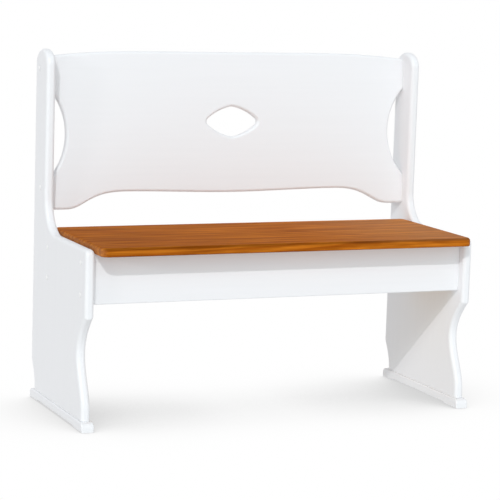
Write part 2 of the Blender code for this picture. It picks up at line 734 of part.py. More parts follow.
white_paint = finish("white_paint", (238, 239, 240), 0.38)
stained_pine = finish("stained_pine", (176, 100, 38), 0.30)
bare_pine = finish("bare_pine", (222, 190, 140), 0.60)
white_plastic = finish("white_plastic", (240, 240, 240), 0.35)
zinc_steel = finish("zinc_steel", (186, 189, 192), 0.35, 1.0)

panel_screw, panel_screw_hole = panel_screw_meshes()
batten_screw, batten_screw_hole = wood_screw_meshes(
    "batten_screw",
    BATTEN_SCREW_RADIUS,
    BATTEN_SCREW_HEAD_RADIUS,
    BATTEN_HEIGHT + FIT + BATTEN_SCREW_BITE,
)
hinge_screw, hinge_screw_hole = wood_screw_meshes(
    "hinge_screw",
    HINGE_SCREW_RADIUS,
    HINGE_SCREW_HEAD_RADIUS,
    HINGE_SCREW_LENGTH,
)
cover_cap = cap_mesh()

side_panels = make_side_panels()
make_foot_rails(side_panels)
end_held = {
    "front_apron": make_rail("front_apron", APRON_FRONT),
    "rear_rail": make_rail("rear_rail", RAIL_FRONT),
    "backrest_board": make_backrest(),
}
make_panel_screws(side_panels, end_held)
make_box_bottom()
seat_board = make_seat()
make_battens(seat_board)
for hinge_side, hinge_sign in SIDES:
    make_hinge(hinge_side, hinge_sign * HINGE_REACH, seat_board, end_held["rear_rail"])
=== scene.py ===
import json
import math

import bmesh
import bpy
from mathutils import Matrix, Vector

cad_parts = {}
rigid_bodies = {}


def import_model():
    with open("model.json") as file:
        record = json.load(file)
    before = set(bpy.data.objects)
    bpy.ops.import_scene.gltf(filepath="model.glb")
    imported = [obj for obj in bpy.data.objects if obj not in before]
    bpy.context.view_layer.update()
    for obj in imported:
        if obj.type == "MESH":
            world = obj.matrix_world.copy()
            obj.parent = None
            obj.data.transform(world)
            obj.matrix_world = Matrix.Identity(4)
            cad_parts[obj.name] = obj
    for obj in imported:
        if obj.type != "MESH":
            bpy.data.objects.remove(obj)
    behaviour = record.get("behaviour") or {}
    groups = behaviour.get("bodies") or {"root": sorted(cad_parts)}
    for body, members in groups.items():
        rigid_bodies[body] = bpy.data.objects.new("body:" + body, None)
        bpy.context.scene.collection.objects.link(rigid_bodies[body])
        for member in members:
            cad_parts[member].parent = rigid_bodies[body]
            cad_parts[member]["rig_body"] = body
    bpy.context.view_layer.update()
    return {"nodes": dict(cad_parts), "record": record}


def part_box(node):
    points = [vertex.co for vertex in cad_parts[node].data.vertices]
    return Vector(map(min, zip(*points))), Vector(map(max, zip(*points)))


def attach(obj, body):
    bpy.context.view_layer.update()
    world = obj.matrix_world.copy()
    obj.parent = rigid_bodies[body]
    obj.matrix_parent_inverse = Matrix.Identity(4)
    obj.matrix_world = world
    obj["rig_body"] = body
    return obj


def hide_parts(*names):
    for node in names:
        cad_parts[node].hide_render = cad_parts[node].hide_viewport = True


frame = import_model()

# Lengths are in metres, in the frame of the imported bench: X along it, Y to the back, Z up from the floor.
# Ends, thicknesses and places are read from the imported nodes. What a node's box can't say is named here.
SIDES = ("left", "right")
FIT = 0.0003
HOLE_CLEARANCE = 0.00035
CUT_OVERRUN = 0.004
WELD = 0.00001

# Side panels
PANEL_ROUNDOVER = 0.009
POST_DEPTH = 0.0975
POST_CROWN_HEIGHT = 0.038
ARM_BELOW_SEAT = 0.010
ARM_CORNER_RADIUS = 0.014
COVE_RADIUS = 0.085
LEG_CURVE_TOP = 0.279
LEG_WAIST_HEIGHT = 0.183
LEG_WAIST_INSET = 0.056
KNEE_HEADING = 135
TOE_HEIGHT = 0.045
TOE_INSET = 0.012
HEEL_HEIGHT = 0.100
HEEL_INSET = 0.028
HEEL_HEADING = 236

# Foot rails
FOOT_END_RADIUS = 0.013
FOOT_PAD_LENGTH = 0.062
FOOT_RELIEF = 0.0035
FOOT_RELIEF_RAMP = 0.010
FOOT_ROUNDOVER = 0.0035

# Seat board, apron, rear rail, and the plain planks of the box
SEAT_FRONT_CORNER_RADIUS = 0.018
SEAT_REAR_CORNER_RADIUS = 0.016
SEAT_ROUNDOVER = 0.008
SEAT_LOWER_ROUNDOVER = 0.003
RAIL_EDGE_RADIUS = 0.003
PLANK_EDGE = 0.001

# Backrest board: rises are measured along its slope from its middle
BACK_THICKNESS = 0.022
BACK_LEAN = math.radians(4.5)
BACK_FACE_BEHIND_FEET = 0.378
BACK_FACE_HEIGHT = 0.690
BACK_ROUNDOVER = 0.007
BACK_CROWN_RISE = 0.210
BACK_END_RISE = 0.197
BACK_SHOULDER_SLOPE = 6
BACK_TAB_DROP = 0.1945
BACK_TAB_LENGTH = 0.0435
BACK_WAVE_DROP = 0.151
BACK_WAVE_REACH = 0.301
BACK_SAG_DROP = 0.157
CUTOUT_HEIGHT = 0.226
CUTOUT_DEPTH = 0.0435
DIAMOND_RISE = 0.0286
DIAMOND_WIDTH = 0.144
DIAMOND_HEIGHT = 0.0795
DIAMOND_CORNER_RADIUS = 0.011
DIAMOND_BOW = 15

# Screws and caps
SCREW_RADIUS = 0.00275
SCREW_LENGTH = 0.050
SCREW_HEAD_RADIUS = 0.0048
SCREW_HEAD_HEIGHT = 0.0035
SCREW_HEAD_EDGE = 0.0012
COUNTERBORE_RADIUS = 0.0053
COUNTERBORE_MOUTH = 0.014
BATTEN_SCREW_RADIUS = 0.002
BATTEN_SCREW_HEAD_RADIUS = 0.004
HINGE_SCREW_RADIUS = 0.0016
HINGE_SCREW_HEAD_RADIUS = 0.003
SCREW_TIP_SHARE = 1 / 3
RECESS_ARM_SHARE = 0.55
RECESS_WIDTH_SHARE = 0.16
RECESS_DEPTH = 0.0012
CAP_RADIUS = 0.0065
CAP_DOME = 0.0018
CAP_STEM_LENGTH = 0.003

# Butt hinges
LEAF_THICKNESS = 0.0018
KNUCKLE_LENGTH = 0.0272
KNUCKLE_GAP = 0.0004
NOTCH_GAP = 0.0006
PIN_RADIUS = 0.0015
PIN_CLEARANCE = 0.0004
PIN_END_ROUND = 0.0004

# Fineness of the visible curves, in steps, and the handles of smooth ones, as shares of their length
CORNER_STEPS = 12
SWEEP_STEPS = 24
ROUNDOVER_STEPS = 8
TURN_STEPS = 48
EVEN_PULLS = (0.34, 0.34)
SHOULDER_PULLS = (0.32, 0.59)
TAB_PULLS = (0.61, 0.295)

# Angles between faces: below FLAT they are one face, above RIM they meet at a board's rim, and above
# CREASE their edge is drawn sharp. LEVEL is the cosine above which a face lies along its board.
FLAT = math.radians(0.1)
RIM = math.radians(60)
CREASE = math.radians(50)
LEVEL = 0.9999

# Colours of the paint where its ghost of grain is lowest and highest, of each wood's early growth, late
# growth and finish, of the painted sheen and highlight on the stained seat, and of the plastic and the
# zinc
PAINT_LOW = "EEEFF1"
PAINT_HIGH = "F1F2F4"
HONEY_STAIN = ("CC7720", "AA5914", "914509")
BARE_WOOD = ("E2C08C", "C99A5E", "D8B27C")
# Pale colour mixed in as a painted sheen and a painted highlight
PAINTED_SHEEN = "F6D9AD"
CAP_WHITE = "F4F4F4"
ZINC_GREY = "C4C7C9"

# Sizes of the finishes' patterns, how far apart in a trunk the staves of a board are taken from, and the
# growth rings in one flame of the grain
GHOST_LENGTH = 0.30
GHOST_WIDTH = 0.009
PEEL_SIZE = 0.0022
GRIT_SIZE = 0.0006
CRYSTAL_SIZE = 0.0018
STAVE_OFFSET = 4.1
FLAME_RINGS = 9.0

# Camera, fitted to the photograph: it looks along +Y, turned to +X and tipped down by these degrees
SENSOR_WIDTH = 36.0
LENS = 147.2
CAMERA_PLACE_FROM_FEET = (-2.0726, -4.5753, 1.1641)
CAMERA_TURN = 23.297
CAMERA_DROP = 8.323
CAMERA_ROLL = 1.84

# Light: each lamp has a colour, a strength, a spread in degrees and the way that it shines. The even light
# from all round has a colour and a strength.
LAMPS = {
    "key": ("FFFFFF", 0.95, 1.2, (0.58, 1.0, -0.83)),
    "front_fill": ("ECFBFF", 0.92, 80.0, (0.10, 1.0, -0.25)),
    "left_rim": ("FFFFFF", 0.33, 8.0, (3.0, 1.0, -0.83)),
}
AMBIENT = ("FBFCFF", 0.53)

# Floor: the light that it gives the bench, and the shadow that it shows, which deepens with the share of
# the sky that things within its reach hide, down to its least light
FLOOR_SIZE = 60.0
FLOOR_LEVEL = -0.0005
FLOOR_GLOW = 0.73
SHADOW_REACH = 0.45
SHADOW_POWER = 2.45
SHADOW_DEPTH = 1.10
SHADOW_LEAST_LIGHT = 0.66
SHADOW_SAMPLES = 16


def linear(colour):
    """An sRGB colour such as "F0F1F3" as linear light with full alpha."""
    channels = [int(colour[i : i + 2], 16) / 255 for i in (0, 2, 4)]
    return (*[c / 12.92 if c <= 0.04045 else ((c + 0.055) / 1.055) ** 2.4 for c in channels], 1.0)


def put(tree, kind, sockets=None, **settings):
    """Adds a node with its settings. Its sockets are given as values or as other nodes' outputs."""
    node = tree.nodes.new(kind)
    for name, value in settings.items():
        setattr(node, name, value)
    for name, value in (sockets or {}).items():
        if isinstance(value, bpy.types.NodeSocket):
            tree.links.new(value, node.inputs[name])
        else:
            node.inputs[name].default_value = value
    return node


def new_material(name):
    """Empty node material and its tree."""
    material = bpy.data.materials.new(name)
    material.use_nodes = True
    material.node_tree.nodes.clear()
    return material, material.node_tree


def surface(tree, shader):
    put(tree, "ShaderNodeOutputMaterial", {"Surface": shader.outputs[0]})


def painted_pine(name, grain_axis):
    """Pine sprayed with white satin lacquer: an even cool white, with a faint orange peel and, under it,
    the ghost of the grain, which is drawn 9 mm wide because real rings would be too fine to show."""
    material, tree = new_material(name)
    place = put(tree, "ShaderNodeTexCoord").outputs["Object"]
    stretch = [1 / (GHOST_LENGTH if axis == grain_axis else GHOST_WIDTH) for axis in "XYZ"]
    along = put(tree, "ShaderNodeMapping", {"Vector": place, "Scale": stretch}).outputs["Vector"]
    ghost = put(tree, "ShaderNodeTexNoise", {"Vector": along, "Scale": 1.0, "Detail": 4.0}).outputs["Fac"]
    fine = {"Vector": place, "Scale": 1 / PEEL_SIZE, "Detail": 1.0}
    peel = put(tree, "ShaderNodeTexNoise", fine).outputs["Fac"]
    coat = put(tree, "ShaderNodeValToRGB", {"Fac": ghost})
    coat.color_ramp.elements[0].color = linear(PAINT_LOW)
    coat.color_ramp.elements[1].color = linear(PAINT_HIGH)
    gloss = put(tree, "ShaderNodeMapRange", {"Value": peel, "To Min": 0.38, "To Max": 0.46})
    relief = put(tree, "ShaderNodeBump", {"Height": ghost, "Strength": 0.04, "Distance": 0.0004})
    skin_sockets = {"Height": peel, "Normal": relief.outputs["Normal"], "Strength": 0.03, "Distance": 0.0003}
    skin = put(tree, "ShaderNodeBump", skin_sockets)
    sockets = {
        "Base Color": coat.outputs["Color"],
        "Roughness": gloss.outputs["Result"],
        "Normal": skin.outputs["Normal"],
        "IOR": 1.47,
    }
    surface(tree, put(tree, "ShaderNodeBsdfPrincipled", sockets))
    return material


def pine(name, grain_turn, colours, roughness, gloss_level, stave_width, painted_edge_shade=1.0, painted_sheen_and_shade=0.0):
    """Pine boards glued edge to edge: growth rings as long flames, a tone of its own for each stave, fine
    fibres, and blotches where the finish soaked in unevenly. Long rounded edges are darkened, a painted
    shade.
    It is darkened towards the left end, a painted shade. Its upward faces are paled towards the right end
    and its end faces all over, a painted sheen and a painted highlight."""
    early, late, stain = colours
    material, tree = new_material(name)
    coordinates = put(tree, "ShaderNodeTexCoord")
    turned = {"Vector": coordinates.outputs["Object"], "Rotation": (0.0, 0.0, math.radians(grain_turn))}
    place = put(tree, "ShaderNodeMapping", turned).outputs["Vector"]
    depth = put(tree, "ShaderNodeSeparateXYZ", {"Vector": place}).outputs["Y"]
    lane = put(tree, "ShaderNodeMath", {0: depth, 1: stave_width}, operation="DIVIDE").outputs[0]
    stave = put(tree, "ShaderNodeMath", {0: lane}, operation="FLOOR").outputs[0]
    chance = put(tree, "ShaderNodeTexWhiteNoise", {"W": stave}, noise_dimensions="1D")
    spread = {0: chance.outputs["Color"], 1: (STAVE_OFFSET,) * 3}
    far = put(tree, "ShaderNodeVectorMath", spread, operation="MULTIPLY").outputs[0]
    own = put(tree, "ShaderNodeVectorMath", {0: place, 1: far}, operation="ADD").outputs[0]

    def streaks(length, width, detail, roughness_share):
        """Noise drawn out along the grain, with its length and width in metres."""
        scale = (1 / length, 1 / width, 1 / width)
        along = put(tree, "ShaderNodeMapping", {"Vector": own, "Scale": scale}).outputs["Vector"]
        sockets = {"Vector": along, "Scale": 1.0, "Detail": detail, "Roughness": roughness_share}
        return put(tree, "ShaderNodeTexNoise", sockets).outputs["Fac"]

    flame = streaks(1.10, 0.075, 1.0, 0.40)
    soak = streaks(0.24, 0.014, 4.0, 0.66)
    fibre = streaks(0.090, 0.0034, 4.0, 0.65)
    rings = put(tree, "ShaderNodeMath", {0: flame, 1: FLAME_RINGS}, operation="MULTIPLY").outputs[0]
    ring = put(tree, "ShaderNodeMath", {0: rings}, operation="FRACT").outputs[0]
    growth = put(tree, "ShaderNodeValToRGB", {"Fac": ring})
    ramp = growth.color_ramp
    ramp.elements[0].color = linear(early)
    ramp.elements[1].color = linear(early)
    for position, colour in ((0.40, early), (0.82, late)):
        ramp.elements.new(position).color = linear(colour)
    blotch_range = {"Value": soak, "From Min": 0.38, "From Max": 0.64, "To Min": 0.0, "To Max": 0.75}
    blotch = put(tree, "ShaderNodeMapRange", blotch_range).outputs["Result"]
    mixed = {"Factor": blotch, 6: growth.outputs["Color"], 7: linear(stain)}
    stained = put(tree, "ShaderNodeMix", mixed, data_type="RGBA").outputs[2]
    tone_range = {"Value": chance.outputs["Value"], "To Min": 0.94, "To Max": 1.06}
    tone = put(tree, "ShaderNodeMapRange", tone_range).outputs["Result"]
    # Painted shade darkens it all towards the left end, and a painted sheen pales its upward faces towards
    # the right one
    right = put(tree, "ShaderNodeSeparateXYZ", {"Vector": coordinates.outputs["Object"]}).outputs["X"]
    painted_left_shade_range = {"Value": right, "From Min": -0.50, "From Max": 0.05, "To Min": 1.0 - painted_sheen_and_shade}
    painted_left_shade = put(tree, "ShaderNodeMapRange", painted_left_shade_range).outputs["Result"]
    fibre_range = {"Value": fibre, "From Min": 0.3, "From Max": 0.7, "To Min": 0.78, "To Max": 1.22}
    streak = put(tree, "ShaderNodeMapRange", fibre_range).outputs["Result"]
    facing = coordinates.outputs["Normal"]
    squares = put(tree, "ShaderNodeVectorMath", {0: facing, 1: facing}, operation="MULTIPLY").outputs[0]
    shares = put(tree, "ShaderNodeSeparateXYZ", {"Vector": squares})
    level, forward = shares.outputs["Z"], shares.outputs["Y"]
    # Painted shade, largest where a face slants both up and forward, as a long rounded edge does,
    # and small on its front
    steep = put(tree, "ShaderNodeMath", {0: level, 1: 0.02}, operation="ADD").outputs[0]
    slanted = put(tree, "ShaderNodeMath", {0: steep, 1: forward}, operation="MULTIPLY").outputs[0]
    # Painted sheen on upward faces towards the right end, and a painted highlight on the end faces, in a
    # pale colour
    painted_right_sheen_range = {"Value": right, "From Min": 0.05, "From Max": 0.45}
    painted_right_sheen = put(tree, "ShaderNodeMapRange", painted_right_sheen_range, interpolation_type="SMOOTHSTEP").outputs["Result"]
    ends = {0: painted_right_sheen, 1: level, 2: shares.outputs["X"]}
    painted_sheen_share = put(tree, "ShaderNodeMath", ends, operation="MULTIPLY_ADD").outputs[0]
    painted_sheen_amount = put(tree, "ShaderNodeMath", {0: painted_sheen_share, 1: painted_sheen_and_shade}, operation="MULTIPLY").outputs[0]
    pale = {"Factor": painted_sheen_amount, 6: stained, 7: linear(PAINTED_SHEEN)}
    stained_with_painted_sheen = put(tree, "ShaderNodeMix", pale, data_type="RGBA").outputs[2]
    # Painted shade on the long rounded edges
    edge_range = {"Value": slanted, "From Max": 0.20, "To Min": 1.0, "To Max": painted_edge_shade}
    edge = put(tree, "ShaderNodeMapRange", edge_range).outputs["Result"]
    grain = put(tree, "ShaderNodeMath", {0: tone, 1: streak}, operation="MULTIPLY").outputs[0]
    value = put(tree, "ShaderNodeMath", {0: grain, 1: painted_left_shade}, operation="MULTIPLY").outputs[0]
    shade = put(tree, "ShaderNodeMath", {0: value, 1: edge}, operation="MULTIPLY").outputs[0]
    wood = put(tree, "ShaderNodeVectorMath", {0: stained_with_painted_sheen, "Scale": shade}, operation="SCALE").outputs[0]
    relief = put(tree, "ShaderNodeBump", {"Height": fibre, "Strength": 0.10, "Distance": 0.0003})
    sockets = {
        "Base Color": wood,
        "Roughness": roughness,
        "Specular IOR Level": gloss_level,
        "Normal": relief.outputs["Normal"],
    }
    surface(tree, put(tree, "ShaderNodeBsdfPrincipled", sockets))
    return material


def moulded_plastic(name):
    """White polypropylene caps: an even moulded skin with the fine grit of a spark-eroded mould, which is
    drawn 0.6 mm coarse so that it shows."""
    material, tree = new_material(name)
    place = put(tree, "ShaderNodeTexCoord").outputs["Object"]
    fine = {"Vector": place, "Scale": 1 / GRIT_SIZE, "Detail": 1.0}
    grit = put(tree, "ShaderNodeTexNoise", fine).outputs["Fac"]
    relief = put(tree, "ShaderNodeBump", {"Height": grit, "Strength": 0.05, "Distance": 0.0002})
    sockets = {
        "Base Color": linear(CAP_WHITE),
        "Roughness": 0.30,
        "IOR": 1.49,
        "Normal": relief.outputs["Normal"],
    }
    surface(tree, put(tree, "ShaderNodeBsdfPrincipled", sockets))
    return material


def zinc_plated_steel(name):
    """Bright zinc on pressed steel: crystals of about 2 mm that make its gloss uneven."""
    material, tree = new_material(name)
    place = put(tree, "ShaderNodeTexCoord").outputs["Object"]
    coarse = {"Vector": place, "Scale": 1 / CRYSTAL_SIZE, "Detail": 2.0}
    crystals = put(tree, "ShaderNodeTexNoise", coarse).outputs["Fac"]
    gloss = put(tree, "ShaderNodeMapRange", {"Value": crystals, "To Min": 0.26, "To Max": 0.44})
    sockets = {"Base Color": linear(ZINC_GREY), "Metallic": 1.0, "Roughness": gloss.outputs["Result"]}
    surface(tree, put(tree, "ShaderNodeBsdfPrincipled", sockets))
    return material


def arc(centre, radii, start, end, steps):
    """Points of an elliptical arc from one angle in degrees to another."""
    points = []
    for i in range(steps + 1):
        angle = math.radians(start + (end - start) * i / steps)
        points.append((centre[0] + radii[0] * math.cos(angle), centre[1] + radii[1] * math.sin(angle)))
    return points


def sweep(start, heading, end, end_heading, pulls=EVEN_PULLS):
    """Points of a smooth curve after its start. It leaves and arrives at headings given in degrees."""
    reach = math.dist(start, end)
    leave, arrive = math.radians(heading), math.radians(end_heading)
    handles = (
        start,
        (start[0] + pulls[0] * reach * math.cos(leave), start[1] + pulls[0] * reach * math.sin(leave)),
        (end[0] - pulls[1] * reach * math.cos(arrive), end[1] - pulls[1] * reach * math.sin(arrive)),
        end,
    )
    points = []
    for i in range(1, SWEEP_STEPS + 1):
        t = i / SWEEP_STEPS
        weights = ((1 - t) ** 3, 3 * t * (1 - t) ** 2, 3 * t**2 * (1 - t), t**3)
        points.append(tuple(sum(w * handle[k] for w, handle in zip(weights, handles)) for k in (0, 1)))
    return points


def rounded_rectangle(low, high, radii):
    """Rectangle with the radii of its corners, anticlockwise from the lowest one. 0 is a square corner."""
    (x0, y0), (x1, y1) = low, high
    corners = ((x0, y0, 1, 1, 180), (x1, y0, -1, 1, 270), (x1, y1, -1, -1, 0), (x0, y1, 1, -1, 90))
    points = []
    for (x, y, inward_x, inward_y, start), radius in zip(corners, radii):
        centre = (x + inward_x * radius, y + inward_y * radius)
        points += arc(centre, (radius, radius), start, start + 90, CORNER_STEPS) if radius else [(x, y)]
    return points


def new_object(name, data):
    obj = bpy.data.objects.new(name, data)
    bpy.context.scene.collection.objects.link(obj)
    return obj


def evaluated_mesh(obj):
    """Mesh of an object with its modifiers applied."""
    bpy.context.view_layer.update()
    graph = bpy.context.evaluated_depsgraph_get()
    return bpy.data.meshes.new_from_object(obj.evaluated_get(graph))


def closed_mesh(obj):
    """Evaluated mesh of an object, welded into one closed skin. The object is removed."""
    mesh = evaluated_mesh(obj)
    bpy.data.objects.remove(obj)
    bm = bmesh.new()
    bm.from_mesh(mesh)
    bmesh.ops.remove_doubles(bm, verts=bm.verts, dist=WELD)
    bmesh.ops.recalc_face_normals(bm, faces=bm.faces)
    flat = [edge for edge in bm.edges if edge.calc_face_angle(math.pi) < FLAT]
    bmesh.ops.dissolve_limit(bm, angle_limit=FLAT, edges=flat, verts=[])
    bm.to_mesh(mesh)
    bm.free()
    return mesh


def board_mesh(name, outline, thickness, hole=()):
    """Board of even thickness cut to an outline, with a hole in it where one is given."""
    curve = bpy.data.curves.new(name, "CURVE")
    curve.dimensions = "2D"
    curve.fill_mode = "BOTH"
    curve.extrude = thickness / 2
    for path in filter(None, (outline, hole)):
        spline = curve.splines.new("POLY")
        spline.points.add(len(path) - 1)
        for point, (u, v) in zip(spline.points, path):
            point.co = (u, v, 0.0, 1.0)
        spline.use_cyclic_u = True
    return closed_mesh(new_object(name, curve))


def turned_mesh(name, profile):
    """Solid turned about Z from a profile of (radius, height) that runs from top to bottom."""
    outline = bpy.data.meshes.new(name)
    edges = [(i, i + 1) for i in range(len(profile) - 1)]
    outline.from_pydata([(radius, 0.0, height) for radius, height in profile], edges, [])
    lathe = new_object(name, outline)
    screw = lathe.modifiers.new("turn", "SCREW")
    screw.steps = TURN_STEPS
    screw.render_steps = TURN_STEPS
    screw.use_merge_vertices = True
    screw.merge_threshold = WELD
    return closed_mesh(lathe)


def cube_mesh(name):
    """Cube of side 1 about its centre, which a matrix stretches into a cutter."""
    mesh = bpy.data.meshes.new(name)
    bm = bmesh.new()
    bmesh.ops.create_cube(bm, size=1.0)
    bm.to_mesh(mesh)
    bm.free()
    return mesh


def block(low, high):
    """Copy of the cutting cube that fills a box."""
    return cutting_cube, Matrix.Translation((low + high) / 2) @ Matrix.Diagonal((*(high - low), 1.0))


def cut(obj, name, copies):
    """Cuts copies of tools, given as pairs of a mesh and a matrix, out of an object."""
    bm = bmesh.new()
    for mesh, matrix in copies:
        known = len(bm.verts)
        bm.from_mesh(mesh)
        bm.verts.ensure_lookup_table()
        bmesh.ops.transform(bm, matrix=matrix, verts=bm.verts[known:])
    whole = bpy.data.meshes.new(name)
    bm.to_mesh(whole)
    bm.free()
    modifier = obj.modifiers.new(name, "BOOLEAN")
    modifier.operation = "DIFFERENCE"
    modifier.solver = "EXACT"
    modifier.object = new_object(name, whole)


def drop_cutters(obj):
    """Removes an object's modifiers with the cutters that they used."""
    for tool in [modifier.object for modifier in obj.modifiers if modifier.type == "BOOLEAN"]:
        bpy.data.objects.remove(tool)
    obj.modifiers.clear()


def round_rims(obj, width, lower_width=None, square=lambda u, v: False):
    """Rounds the edges between a board's faces and its rim, but not those where square holds at both ends.

    The edges of the lower face have a width of their own where lower_width is given.
    """
    bm = bmesh.new()
    bm.from_mesh(obj.data)
    level = max(vertex.co.z for vertex in bm.verts)
    weight = bm.edges.layers.float.new("bevel_weight_edge")
    for edge in bm.edges:
        ends = [vertex.co for vertex in edge.verts]
        upper, lower = (all(abs(end.z - face * level) < WELD for end in ends) for face in (1, -1))
        sharp = edge.calc_face_angle(0.0) > RIM
        left_square = all(square(end.x, end.y) for end in ends)
        if sharp and not left_square and upper:
            edge[weight] = 1.0
        if sharp and not left_square and lower:
            edge[weight] = (lower_width or width) / width
    bm.to_mesh(obj.data)
    bm.free()
    bevel = obj.modifiers.new("round", "BEVEL")
    bevel.limit_method = "WEIGHT"
    bevel.width = width
    bevel.segments = ROUNDOVER_STEPS
    bevel.loop_slide = False
    bevel.use_clamp_overlap = False


def piece(name, mesh, material, body, node, matrix=Matrix()):
    """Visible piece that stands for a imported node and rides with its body."""
    obj = new_object(name, mesh)
    obj.matrix_world = matrix
    if not mesh.materials:
        mesh.materials.append(material)
    mesh.shade_smooth()
    mesh.set_sharp_from_angle(angle=CREASE)
    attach(obj, body)
    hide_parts(node)
    return obj


def shade_board(mesh, board_normal):
    """Gives a board the normals of a real one: its faces and straight rims flat, its roundovers smooth."""
    bm = bmesh.new()
    bm.from_mesh(mesh)
    area = {face: face.calc_area() for face in bm.faces}
    tilt = {face: abs(face.normal.dot(board_normal)) for face in bm.faces}
    normals = []
    for face in bm.faces:
        own = face.normal
        for vertex in face.verts:
            near = [other for other in vertex.link_faces if own.angle(other.normal, math.pi) < CREASE]
            faces = [other for other in near if tilt[other] > LEVEL]
            rims = [other for other in near if tilt[other] < 1 - LEVEL]
            total = sum((other.normal * area[other] for other in faces or rims or near or [face]), Vector())
            normals.append(total.normalized())
    bm.free()
    mesh.normals_split_custom_set(normals)


def settle(obj):
    """Puts a board's finished shape into its mesh, in the bench's frame."""
    matrix = obj.matrix_world.copy()
    mesh = evaluated_mesh(obj)
    mesh.transform(matrix)
    drop_cutters(obj)
    body = obj["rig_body"]
    obj.data = mesh
    obj.parent = None
    obj.matrix_world = Matrix()
    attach(obj, body)
    mesh.shade_smooth()
    shade_board(mesh, (matrix.to_3x3() @ Vector((0.0, 0.0, 1.0))).normalized())
    return obj


def across(x):
    """Matrix that stands an outline of (depth, height) across the bench at x."""
    stand = Matrix.Rotation(math.pi / 2, 4, "Z") @ Matrix.Rotation(math.pi / 2, 4, "X")
    return Matrix.Translation((x, 0.0, 0.0)) @ stand


def screw_of(node):
    """A node's screw or cap: its mesh, its hole, the way out of the wood, and its head's height."""
    outward = Vector((-1.0 if "_left_" in node else 1.0, 0.0, 0.0))
    up = Vector((0.0, 0.0, 1.0))
    kinds = {
        "screw": (panel_screw, panel_screw_hole, outward, SCREW_HEAD_HEIGHT),
        "foot_screw": (panel_screw, panel_screw_hole, -up, SCREW_HEAD_HEIGHT),
        "batten_screw": (batten_screw, batten_screw_hole, -up, 0.0),
        "hinge_seat_screw": (hinge_screw, hinge_screw_hole, -up, 0.0),
        "hinge_rail_screw": (hinge_screw, hinge_screw_hole, up, 0.0),
        "cap": (cover_cap, None, outward, CAP_DOME),
    }
    return next(kind for start, kind in kinds.items() if node.startswith(start + "_"))


def stand_out(node, outward, head_height):
    """Matrix that points a turned piece out of the wood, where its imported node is."""
    low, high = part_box(node)
    reach = abs((high - low).dot(outward)) / 2 - head_height
    aim = outward.to_track_quat("Z", "Y").to_matrix().to_4x4()
    return Matrix.Translation((low + high) / 2 + outward * reach) @ aim


def holes(*starts, side=""):
    """Holes of the screws whose nodes have one of these starts, and the side in their names where given."""
    copies = []
    for node in frame["nodes"]:
        if node.startswith(starts) and side in node:
            _, hole, outward, head_height = screw_of(node)
            copies.append((hole, stand_out(node, outward, head_height)))
    return copies


def headed_profile(radius, length):
    """Screw of the side panels with its rounded head's underside at height 0."""
    edge = (SCREW_HEAD_RADIUS - SCREW_HEAD_EDGE, SCREW_HEAD_HEIGHT - SCREW_HEAD_EDGE)
    head = arc(edge, (SCREW_HEAD_EDGE, SCREW_HEAD_EDGE), 90, 0, CORNER_STEPS)
    shank = [
        (SCREW_HEAD_RADIUS, 0.0),
        (radius, 0.0),
        (radius, -length + radius),
        (radius * SCREW_TIP_SHARE, -length),
        (0.0, -length),
    ]
    return [(0.0, SCREW_HEAD_HEIGHT)] + head + shank


def countersunk_profile(radius, head_radius, length):
    """Wood screw with the flat of its head at height 0."""
    return [
        (0.0, 0.0),
        (head_radius, 0.0),
        (radius, radius - head_radius),
        (radius, -length + 2 * radius),
        (radius * SCREW_TIP_SHARE, -length),
        (0.0, -length),
    ]


def countersunk_hole(name, radius, head_radius, length):
    grow = HOLE_CLEARANCE
    profile = [
        (0.0, CUT_OVERRUN),
        (head_radius + grow, CUT_OVERRUN),
        (head_radius + grow, 0.0),
        (radius + grow, radius - head_radius),
        (radius + grow, -length - FIT),
        (0.0, -length - FIT),
    ]
    return turned_mesh(name, profile)


def driven_screw(name, profile, head_radius):
    """Turned screw with a cross recess in its head."""
    screw = new_object(name, turned_mesh(name, profile))
    arm, width = head_radius * RECESS_ARM_SHARE, head_radius * RECESS_WIDTH_SHARE
    outline = []
    for quarter in range(4):
        turn = Matrix.Rotation(quarter * math.pi / 2, 2)
        arm_outline = ((arm, -width), (arm, width), (width, width))
        outline += [tuple(turn @ Vector(point)) for point in arm_outline]
    recess = board_mesh(name + "_recess", outline, 2 * RECESS_DEPTH)
    cut(screw, name + "_recess", [(recess, Matrix.Translation((0.0, 0.0, profile[0][1])))])
    mesh = evaluated_mesh(screw)
    drop_cutters(screw)
    bpy.data.objects.remove(screw)
    return mesh


def screw_length(node):
    low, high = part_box(node)
    return high.z - low.z


